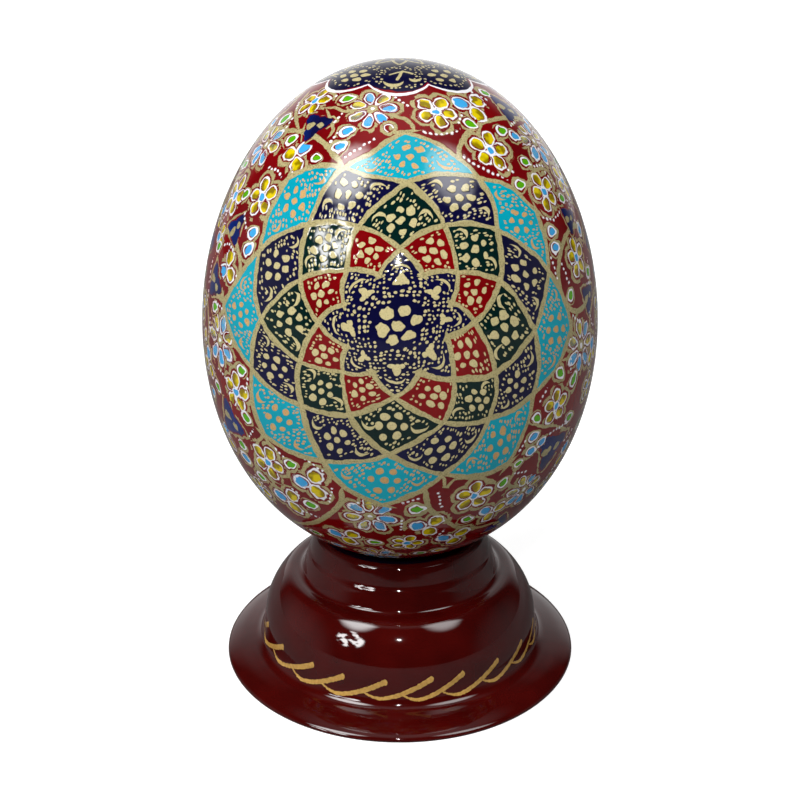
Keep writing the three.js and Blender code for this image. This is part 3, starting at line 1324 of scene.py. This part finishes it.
    def leaves(self, x: Value, y: Value, kind: Value) -> None:
        """Paints the navy leaves: three blunt lobes, a loose gold line round them, a drop and a dot.

        Args:
            x, y: the place in the motif's plane, mm.
            kind: the motif.
        """
        tree = self.tree
        here = self.among(kind, Motif.NAVY_LEAF, Motif.NAVY_LEAF)
        angle = tree.math("ARCTAN2", y, x)
        folded = angle - tree.math("ROUND", angle / (2 * math.pi / 3)) * (2 * math.pi / 3)
        out = tree.length(x, y)
        ahead = out * tree.math("COSINE", folded) - 2.1
        lobe = (tree.length(ahead / 2.6, out * tree.math("SINE", folded) / (1.9 - 0.3 * ahead)) - 1) * 2.0
        leaf = tree.least(lobe, out - 1.9)
        blue = tree.blend(self.cloud * 3.0 - 0.9, Pigment.ROYAL, Pigment.NAVY)
        self.lay(leaf, blue, here)
        around = abs(leaf - 0.85 - (self.slow - 0.5)) - 0.36
        self.lay(tree.choose(self.slow > 0.44, 1.0, around), self.gold, here)
        drop = (tree.length((x + 1.3) / 1.35, (y - 0.3) / (0.66 - 0.25 * x)) - 1) * 0.7
        second = (tree.length((x - 1.5) / 1.0, (y + 0.5) / (0.5 + 0.15 * x)) - 1) * 0.6
        self.lay(tree.least(drop, second), self.gold, here)

    def buds(self, x: Value, y: Value, kind: Value) -> None:
        """Paints the single buds: a drop of colour in a thin white loop, gold loosely round it.

        Args:
            x, y: the place in the motif's plane, mm.
            kind: the motif.
        """
        tree = self.tree
        yellow = self.among(kind, Motif.YELLOW_BUD, Motif.YELLOW_BUD)
        here = tree.most(self.among(kind, Motif.GREEN_BUD, Motif.BLUE_BUD), yellow)
        behind = tree.length((x + 0.35) / 3.0, (y + 0.25) / (2.3 - 0.2 * x))
        loop = abs(behind - 1.0) * 2.6 - 0.34 - (self.slow - 0.5) * 1.6
        self.lay(loop, self.gold, here)
        body = tree.blend(kind > Motif.BLUE_BUD - 0.5, Pigment.LEAF, Pigment.SKY)
        body = tree.blend(kind > Motif.YELLOW_BUD - 0.5, body, Pigment.YELLOW)
        self.lay((tree.length((x - 0.15) / 1.5, (y + 0.1) / 1.05) - 1) * 1.2, body, here)
        white = abs(tree.length(x / 1.95, y / (1.42 - 0.16 * x)) - 1) * 1.6 - 0.29 - self.fine_y * 0.6
        self.lay(white, Pigment.WHITE, here)
        spiral = abs(tree.length(x, y) - 1.9) - 0.45
        curl = kind > Motif.CURL - 0.5
        self.lay(tree.least(spiral, tree.length(x - 0.7, y) - 0.7), self.gold, curl)
        inner = tree.most(abs(tree.length(x - 0.1, y + 0.1) - 1.15) - 0.17, x - y - 1.1)
        self.lay(inner, Pigment.WHITE, curl)

    def flowers(self, x: Value, y: Value, kind: Value) -> None:
        """Paints the flowers: gold loops, thin white petals, yellow or blue in them, and a blue eye.

        A flower's kind is its number of petals. The angle is folded into one petal's share, where the
        petal is an oval on a ring; the white loop, the gold loop and the fill each sit a little off.

        Args:
            x, y: the place in the motif's plane, mm.
            kind: the motif.
        """
        tree = self.tree
        plain = self.among(kind, Motif.FLOWER, Motif.FLOWER)
        bloom = self.among(kind, Motif.BLOOM, Motif.BLOOM)
        trio = self.among(kind, Motif.TRIO, Motif.TRIO)
        here = plain + bloom + trio
        count = tree.most(kind, 3.0)
        sector = 2 * math.pi / count
        angle = tree.math("ARCTAN2", y, x)
        petal = tree.math("ROUND", angle / sector)
        folded = angle - petal * sector
        own = tree.chance(petal % count, kind, 5.0)
        out = tree.length(x, y)
        ring = 3.45 + 0.7 * tree.most(count - 5.0, 0.0) - 0.2 * tree.most(5.0 - count, 0.0)
        ahead = out * tree.math("COSINE", folded) - ring
        aside = out * tree.math("SINE", folded)
        long = 2.3 + 0.13 * abs(count - 5.0)
        wide = 1.85 - 0.17 * (count - 5.0)

        def oval(off_x: Number, off_y: Number) -> Value:
            """The signed distance to the petal's outline, moved by an offset."""
            at = ahead + off_x
            return (tree.length(at / long, (aside + off_y) / (wide + 0.1 * at)) - 1) * 1.9

        rim = oval((own[0] - 0.5) * 0.7, (own[1] - 0.5) * 0.5)
        halo = abs(rim - 1.1 - (self.slow - 0.5) * 1.1) - 0.44
        self.lay(tree.choose(self.slow > 0.4, 1.0, halo), self.gold, here)
        shade = tree.math("MULTIPLY_ADD", aside + (self.quick - 0.5) * 4.0, 0.8, own[2] - 0.1, clamp=True)
        yellow = tree.blend(shade, Pigment.YELLOW, Pigment.OLIVE)
        blue = bloom * (own[0] > 0.55) + trio * ((petal % 3.0) < 0.5)
        fill = oval((own[1] - 0.5) * 0.6, (own[2] - 0.5) * 0.7) + 0.4
        self.lay(fill, tree.blend(blue, yellow, Pigment.SKY), here)
        self.lay(abs(rim + 0.1) - 0.22 - self.fine_x * 0.9, Pigment.WHITE, here)
        eye = out + self.fine_y * 1.5 - 1.05
        self.lay(eye, Pigment.SKY, plain)
        self.lay(abs(eye - 0.25) - 0.22 - self.fine_x * 0.8, Pigment.WHITE, plain)
        self.lay(out - 1.6 - self.fine_x * 2.0, self.gold, bloom)
        self.lay(out - 0.7, Pigment.WHITE, bloom)

    def crown(self) -> None:
        """Paints the scalloped navy cap round the top, edged in white over a thread of red."""
        tree = self.tree
        turn, south, side = tree.attribute("cap")
        turn = turn + self.CAP_TURN
        eighth = turn * (4 / math.pi)
        lobe = tree.math("ROUND", eighth)
        folded = eighth - lobe
        edge = south - self.CAP_EDGE + self.CAP_SCALLOP * (abs(folded) * 2) ** 2.0 + self.fine_x * 0.8
        across = folded * (math.pi / 4 * 0.93) * south
        navy = edge + 0.55 - (self.slow - 0.5) * 3.2
        inside = tree.inside(edge)
        self.colour = tree.blend(inside, self.colour, Pigment.RED)
        blue = tree.blend(self.cloud, Pigment.NAVY, Pigment.INK)
        self.colour = tree.blend(tree.inside(navy), self.colour, blue)
        self.relief = self.relief * (1 - inside)
        odd = (lobe % 2.0) > 0.5
        big = self.cluster(across / self.CAP_SQUEEZE, south - self.CAP_SPOT, 0.5 + lobe * 0.7, 3.15, 1.0)
        wavy = across + self.fine_x
        stem = self.stroke(wavy, south, (-0.4, 19.6), (1.0, 14.6), 0.4)
        wings = tree.least(
            self.stroke(wavy, south, (1.0, 14.6), (-2.4, 16.8), 0.34),
            self.stroke(wavy, south, (1.0, 14.6), (3.6, 16.3), 0.42),
        )
        hooks = tree.least(
            self.crescent(across + 1.4, 19.4 - south, 2.9, 0.66),
            self.crescent(across - 4.4, 18.2 - south, 1.7, 0.5),
        )
        sprig = tree.least(stem, wings, hooks)

        def in_lobe(at_x: Value, at_y: Value) -> Value:
            """Above zero clear of the cap's rim, its clusters and sprigs, and the crossed lines.

            Args:
                at_x, at_y: the place in mm.

            Returns:
                How much room there is.
            """
            rim_room = 24.6 - 3.9 * (at_x / 8.0) ** 2.0 - at_y
            clump = tree.length(at_x / self.CAP_SQUEEZE, at_y - self.CAP_SPOT) - 4.9
            twig = tree.length(at_x / 4.0, (at_y - self.CAP_SPOT) / 5.0) - 1
            return tree.least(rim_room, tree.choose(odd, twig, clump), at_y - 11.2)

        small = self.sprinkle(across, south, lobe + side * 8 + 2.7, 1.35, in_lobe)
        spots = tree.least(tree.choose(odd, sprig, big), small)
        # an eight-pointed star round the pole, with dots between its arms
        ring = (south - self.POLE_STAR) / self.POLE_PITCH
        turned = eighth * 2
        one, two = (turned + ring) * 0.5, (turned - ring) * 0.5
        steep = 0.5 * tree.length(8 / math.pi / tree.most(south, 0.5), 1 / self.POLE_PITCH)
        net_edge = 0.5 - tree.most(abs(one - tree.math("ROUND", one)), abs(two - tree.math("ROUND", two)))
        net = tree.most(net_edge / steep - 0.4, ring - 1.08, -0.1 - ring)
        pole_x, pole_y = south * tree.math("SINE", turn), south * tree.math("COSINE", turn)
        pole = self.cluster(pole_x, pole_y, 0.2, 2.6, 0.8)
        spots = tree.least(spots, tree.most(pole, south - self.POLE_PITCH))
        self.lay(spots, tree.blend(self.grain * 1.2 - 0.2, Pigment.CREAM, self.gold), inside)
        self.lay(net, self.gold, inside)
        self.lay(abs(edge - 0.25) - 0.62 + abs(folded) * 0.5, Pigment.WHITE)

    def material(self) -> bpy.types.Material:
        """Paints all layers and ends the material.

        Returns:
            The finished material.
        """
        self.border()
        self.medallion()
        self.crown()
        roughness = self.tree.math("MULTIPLY_ADD", self.grain, 0.05, 0.03)
        self.finish.finish(self.tree, self.colour, roughness, self.relief + self.quick * 0.25)
        return self.tree.owner


# ---------------------------------------------------------------------------------------------
# The stand
# ---------------------------------------------------------------------------------------------


class Enamel(Enum):
    """The stand's enamels, and the blue-black that is painted shade on the seat under the egg."""

    MAROON = srgb(70, 6, 4)
    DARK_MAROON = srgb(53, 3, 2)
    STROKE_GOLD = srgb(208, 166, 90)
    STROKE_SHADE = srgb(168, 128, 62)
    # blue-black: painted shade on the seat under the egg, where the egg shades the gap, and the colour of
    # the stand's inside and underside
    BLUE_BLACK_SEAT_SHADE_AND_UNDERSIDE = srgb(10, 10, 26)


@dataclass
class Stand:
    """The stand: one sheet of metal spun into a dished seat, collar, dome and brim.

    Its outline is a list of radius and height in mm, worked out piece by piece.
    """

    columns: int = 288
    wall: float = 1.2
    seat_gap: float = 0.3
    contact_radius: float = 21.0
    opening_out: float = 0.052
    opening_in: float = 0.004
    seat_edge: float = 26.2
    dome_radius: float = 46.1
    bend: float = 25.0
    bend_height: float = 10.0
    bend_top: float = 47.0
    collar: Places = (
        (27.1, 43.1), (28.2, 42.2), (28.7, 41.1), (29.1, 39.7), (29.6, 37.8), (30, 36.2), (30.7, 35.2),
        (31, 34.3), (31.4, 33), (32.1, 31), (32.8, 29.5), (33.8, 28.9), (35.4, 28.9), (36.9, 28.8),
    )
    brim: Places = (
        (46.3, 8.1), (46.7, 6.6), (47.5, 5.3), (48.9, 4.4), (50.8, 4), (54.5, 3.2), (57.2, 2.2),
        (58.5, 1.4), (58.88, 0.6), (58.4, 0),
    )
    hollow_brim: Places = ((57, 0), (56.5, 1), (50.4, 2.8), (48.3, 3.3), (46.5, 4.6), (45.5, 6.4))
    hollow_collar: Places = (
        (36.4, 27.6), (33.2, 27.6), (31.6, 29), (30.1, 33), (28.4, 34.8), (28.1, 38.6), (27.4, 41.2),
    )

    def arc(self, radius: float, start: float, end: float) -> np.ndarray:
        """The dome's rounded side: a circular arc, its angles in degrees above the horizontal.

        Args:
            radius: the arc's radius in mm.
            start, end: its first and last angle.

        Returns:
            Rows of radius and height in mm.
        """
        angle = np.radians(np.linspace(start, end, 15))
        across = self.dome_radius - self.bend + radius * np.cos(angle)
        return np.column_stack([across, self.bend_height + radius * np.sin(angle)])

    def seat(self, shell: Shell, lowered: float) -> np.ndarray:
        """The seat from its middle out.

        Its height is the egg's underside, less the gap, less opening x (radius - contact radius)^2.

        Args:
            shell: the egg that it follows.
            lowered: how far below the seat's face this outline lies, mm.

        Returns:
            Rows of radius and height in mm.
        """
        radius = np.linspace(0, self.seat_edge, 22)
        under = shell.fine_height < shell.centre_height - 30
        height = np.interp(radius, shell.fine_radius[under], shell.fine_height[under])
        away = radius - self.contact_radius
        opening = np.where(away > 0, self.opening_out, self.opening_in)
        return np.column_stack([radius, height - self.seat_gap - opening * away**2 - lowered])

    def build(self, shell: Shell) -> bpy.types.Object:
        """Makes the stand's mesh, its rings rounded by a smooth curve through their points.

        The attribute "enamel" holds, for the shader, the way round the dome in turns, the height that
        the outline would have if it ran straight up from the dome's widest place, and 1 on the outside.

        Args:
            shell: the egg that the seat follows.

        Returns:
            The finished object.
        """
        seat, under_seat = self.seat(shell, 0), self.seat(shell, self.wall)[::-1]
        collar, brim = smooth_line(self.collar, 0.45), smooth_line(self.brim, 0.5)
        dome = self.arc(self.bend, self.bend_top, 0)
        hollow_dome = self.arc(self.bend - self.wall, 0, self.bend_top)
        outside = np.vstack([collar, dome, brim])
        inside = np.vstack([self.hollow_brim, hollow_dome, self.hollow_collar, under_seat])
        outline = np.vstack([seat, outside, inside])
        gone = np.concatenate([[0], np.cumsum(np.hypot(*np.diff(outline, axis=0).T))])
        widest = len(seat) + len(collar) + len(dome) - 1
        climb = (self.bend_height + gone[widest] - gone)[::-1]
        number = np.arange(len(outline))
        outer = ((number >= len(seat)) & (number < len(seat) + len(outside)))[::-1]
        turned = Turned(outline[::-1], self.columns)
        piece = turned.mesh("enamelled_stand")
        rows = turned.corner_rows
        turns = turned.turns() / (2 * math.pi)
        corner_attribute(piece, "enamel", np.column_stack([turns, climb[rows], outer[rows]]))
        return piece


@dataclass(frozen=True)
class Strokes:
    """The row of gold brush strokes round the dome's foot, each one begun in the one before."""

    count: int = 22
    low: float = 6.3  # the height of a stroke's lowest place, mm
    rise: float = 6.2
    start_drop: float = 1.8
    turning: float = 0.27  # the share of its length at which a stroke turns upwards
    length: float = 19.0
    thin: float = 0.2
    thick: float = 0.92

    def distance(self, tree: Tree, turns: Value, climb: Value, around: float) -> Value:
        """The distance to the strokes.

        A stroke sinks from its start to its lowest place and then swings up to a blunt head: its
        height over its length is low + drop (1 - t/turning)^2 before the turning and
        low + rise ((t - turning) / (1 - turning))^1.5 after it, and it thickens as t^0.75.

        Args:
            tree: the material.
            turns: the way round the stand, in turns.
            climb: the height, mm.
            around: the length of the whole round, mm.

        Returns:
            The signed distance in mm.
        """
        place = turns * float(self.count)
        nearest: Number = FAR
        for late in (0.0, 1.0):
            index = tree.math("FLOOR", place) - late
            own = tree.chance(index % float(self.count), 2.0)
            along = (place - index) * (around / self.count) - own[0] * 1.6
            long = self.length + own[2] * 3.0
            share = tree.math("DIVIDE", along, long, clamp=True)
            sinking = tree.most(1 - share / self.turning, 0.0)
            rising = tree.most((share - self.turning) / (1 - self.turning), 0.0)
            path = self.low + own[1] * 1.3 + self.start_drop * sinking * sinking
            path = path + self.rise * rising**1.5
            beyond = tree.most(0 - along, along - long, 0.0)
            stroke = tree.length(beyond, (climb - path) * 0.86)
            nearest = tree.least(nearest, stroke - self.thin - (self.thick - self.thin) * share**0.75)
        return nearest


class StandEnamel:
    """The stand's gloss enamel: maroon with gold strokes, blue-black inside and beneath, and blue-black
    painted shade on the seat under the egg.
    """

    finish = Gloss(relief_height=0.05)

    def material(self, stand: Stand) -> bpy.types.Material:
        """Makes the material.

        Args:
            stand: its sizes.

        Returns:
            The finished material.
        """
        tree = Tree(bpy.data.materials.new("stand_enamel"))
        turns, climb, outer = tree.attribute("enamel")
        slow, _ = tree.noise(9.0, 1.0)
        quick, _ = tree.noise(0.9, 2.0, 0.4)
        strokes = Strokes().distance(tree, turns, climb, 2 * math.pi * stand.dome_radius)
        gold = tree.inside(strokes + (quick - 0.5) * 0.5)
        colour = tree.blend(slow * 1.4 - 0.2, Enamel.MAROON, Enamel.DARK_MAROON)
        brushed = tree.blend(quick * 1.6 - 0.3, Enamel.STROKE_GOLD, Enamel.STROKE_SHADE)
        colour = tree.blend(gold, colour, brushed)
        # painted shade: the seat under the egg is blue-black where the egg shades it; the inside and
        # underside are blue-black too
        colour = tree.blend(outer < 0.5, colour, Enamel.BLUE_BLACK_SEAT_SHADE_AND_UNDERSIDE)
        relief = tree.inside(strokes, 0.5) * 0.5 + slow
        self.finish.finish(tree, colour, quick * 0.04 + 0.03, relief)
        return tree.owner


# ---------------------------------------------------------------------------------------------
# Studio
# ---------------------------------------------------------------------------------------------


@dataclass(frozen=True)
class Lamp:
    """A soft rectangular lamp that faces the object."""

    name: str
    azimuth: float  # degrees round from the front towards +X
    elevation: float  # degrees above the object's middle
    distance: float  # metres
    size: tuple[float, float]  # metres
    watts: float

    def hang(self, middle: np.ndarray) -> None:
        """Hangs the lamp round a place and turns it to face that place.

        Args:
            middle: the place in metres.
        """
        data = bpy.data.lights.new(self.name, "AREA")
        data.shape = "RECTANGLE"
        data.size, data.size_y = self.size
        data.energy = self.watts
        lamp = bpy.data.objects.new(self.name, data)
        turn, lift = math.radians(self.azimuth), math.radians(self.elevation)
        flat = math.cos(lift)
        away = np.array([math.sin(turn) * flat, -math.cos(turn) * flat, math.sin(lift)])
        lamp.location = middle + away * self.distance
        lamp.rotation_euler = (math.pi / 2 - lift, 0, turn)
        bpy.context.scene.collection.objects.link(lamp)


@dataclass(frozen=True)
class Window:
    """A bright round patch of the room with a soft edge."""

    azimuth: float  # degrees round from the front towards +X
    elevation: float  # degrees above the horizon
    reach: float  # degrees from its middle to its edge
    strength: float
    core: float = 0.35  # the share of its reach that is evenly bright
    broken: float = 0.0  # 1 where things stand in front of it


@dataclass
class Studio:
    """A pale floor, soft light and the camera."""

    camera_distance: float = 0.3517
    camera_height: float = 0.2227
    camera_pitch: float = 20.97
    focal_share: float = 1176.3 / 800
    sensor: float = 36.0
    middle: tuple[float, float, float] = (0.0, 0.0, 0.1)
    floor_half: float = 6.0  # metres
    floor_mirrored: float = 0.18
    floor_seen: float = 0.5
    floor_glow: float = 0.78
    dark: float = 0.02  # the room's light in front
    overhead: float = 0.5
    left_wall: float = 0.3
    right_wall: float = 0.2
    lamps: tuple[Lamp, ...] = (Lamp("lamp_by_the_camera", -1.1, 28.7, 0.4, (0.011, 0.011), 0.27),)
    windows: tuple[Window, ...] = (
        Window(-53.0, 55.0, 15.5, 14.0),
        Window(54.0, 55.0, 16.0, 7.0),
        Window(-45.0, 29.5, 12.0, 22.0, 0.8, 1.0),
    )

    def camera(self) -> None:
        """Sets the camera in front, looking down at the object."""
        lens = bpy.data.cameras.new("camera")
        lens.sensor_width = self.sensor
        lens.lens = self.focal_share * self.sensor
        lens.clip_start = 0.01
        holder = bpy.data.objects.new("camera", lens)
        holder.location = (0, -self.camera_distance, self.camera_height)
        holder.rotation_euler = (math.radians(90 - self.camera_pitch), 0, 0)
        bpy.context.scene.collection.objects.link(holder)
        bpy.context.scene.camera = holder

    def floor(self) -> None:
        """Lays a wide pale floor: bright to the eye, dim as the gloss mirrors it."""
        half = self.floor_half
        data = bpy.data.meshes.new("floor")
        corners = [(-half, -half, 0), (half, -half, 0), (half, half, 0), (-half, half, 0)]
        data.from_pydata(corners, [], [(0, 1, 2, 3)])
        ground = bpy.data.objects.new("floor", data)
        bpy.context.scene.collection.objects.link(ground)
        tree = Tree(bpy.data.materials.new("pale_floor"))
        seen = tree.out(tree.node("ShaderNodeLightPath"), "Is Camera Ray")
        dim = {"Base Color": (*[self.floor_mirrored] * 3, 1), "Roughness": 0.9}
        pale = {"Base Color": (*[self.floor_seen] * 3, 1), "Roughness": 0.9, "Specular IOR Level": 0.0}
        pale |= {"Emission Color": (1, 1, 1, 1), "Emission Strength": self.floor_glow}
        sides = [tree.out(tree.node("ShaderNodeBsdfPrincipled", values=values)) for values in (dim, pale)]
        mixed = tree.node("ShaderNodeMixShader", values={0: seen, 1: sides[0], 2: sides[1]})
        tree.node("ShaderNodeOutputMaterial", values={0: tree.out(mixed)})
        data.materials.append(tree.owner)

    def surroundings(self) -> None:
        """Makes the room: dark in front, white far behind, dim at the sides, and lit from overhead."""
        world = bpy.data.worlds.new("studio")
        bpy.context.scene.world = world
        tree = Tree(world)
        way = tree.out(tree.node("ShaderNodeTexCoord"), "Generated")
        right, back, up = tree.parts(way)
        seen = tree.out(tree.node("ShaderNodeLightPath"), "Is Camera Ray")
        light = self.dark + tree.ease(back, 0.61, 0.96) * (1 - tree.ease(up, 0.2, 0.7) * 0.45)
        light = light + tree.ease(up, 0.8, 1.0) * self.overhead
        light = light + tree.ease(0 - right, 0.76, 1.05) * self.left_wall
        light = light + tree.ease(right, 0.8, 1.05) * self.right_wall
        ragged = {"Vector": way, "Scale": 9.0, "Detail": 1.0}
        cloud = tree.out(tree.node("ShaderNodeTexNoise", values=ragged))
        for window in self.windows:
            turn, lift = math.radians(window.azimuth), math.radians(window.elevation)
            aim = (math.sin(turn) * math.cos(lift), -math.cos(turn) * math.cos(lift), math.sin(lift))
            towards = tree.node("ShaderNodeVectorMath", {"operation": "DOT_PRODUCT"}, {0: way, 1: aim})
            core, edge = (math.cos(math.radians(window.reach * share)) for share in (window.core, 1.0))
            patch = tree.ease(tree.out(towards, "Value"), edge, core) * window.strength
            light = light + patch * tree.choose(window.broken, 1.0, tree.ease(cloud, 0.47, 0.56))
        background = tree.node("ShaderNodeBackground", values={1: tree.choose(seen, light, 1.0)})
        background.inputs[0].default_value = (1, 1, 1, 1)
        tree.node("ShaderNodeOutputWorld", values={0: tree.out(background)})

    def build(self) -> None:
        """Sets up the whole studio."""
        bpy.context.scene.view_settings.view_transform = "Standard"
        self.camera()
        self.floor()
        self.surroundings()
        for lamp in self.lamps:
            lamp.hang(np.array(self.middle))


def dress(piece: bpy.types.Object, material: bpy.types.Material, node: str) -> None:
    """Gives a piece its material and its place among the construction's nodes, and reports it.

    Args:
        piece: the piece.
        material: its finish.
        node: the construction's node that it stands for.
    """
    piece.data.materials.append(material)
    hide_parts(node)
    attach(piece, "root")
    LOG.info("%s: %d faces", piece.name, len(piece.data.polygons))


def main() -> None:
    """Builds the shell, the stand and the studio, and reports each piece."""
    logging.basicConfig(level=logging.INFO, format="%(message)s")
    shell, stand = Shell(), Stand()
    dress(shell.build(), ShellPaint().material(), "egg")
    dress(stand.build(shell), StandEnamel().material(stand), "stand")
    Studio().build()


if __name__ == "__main__":
    main()
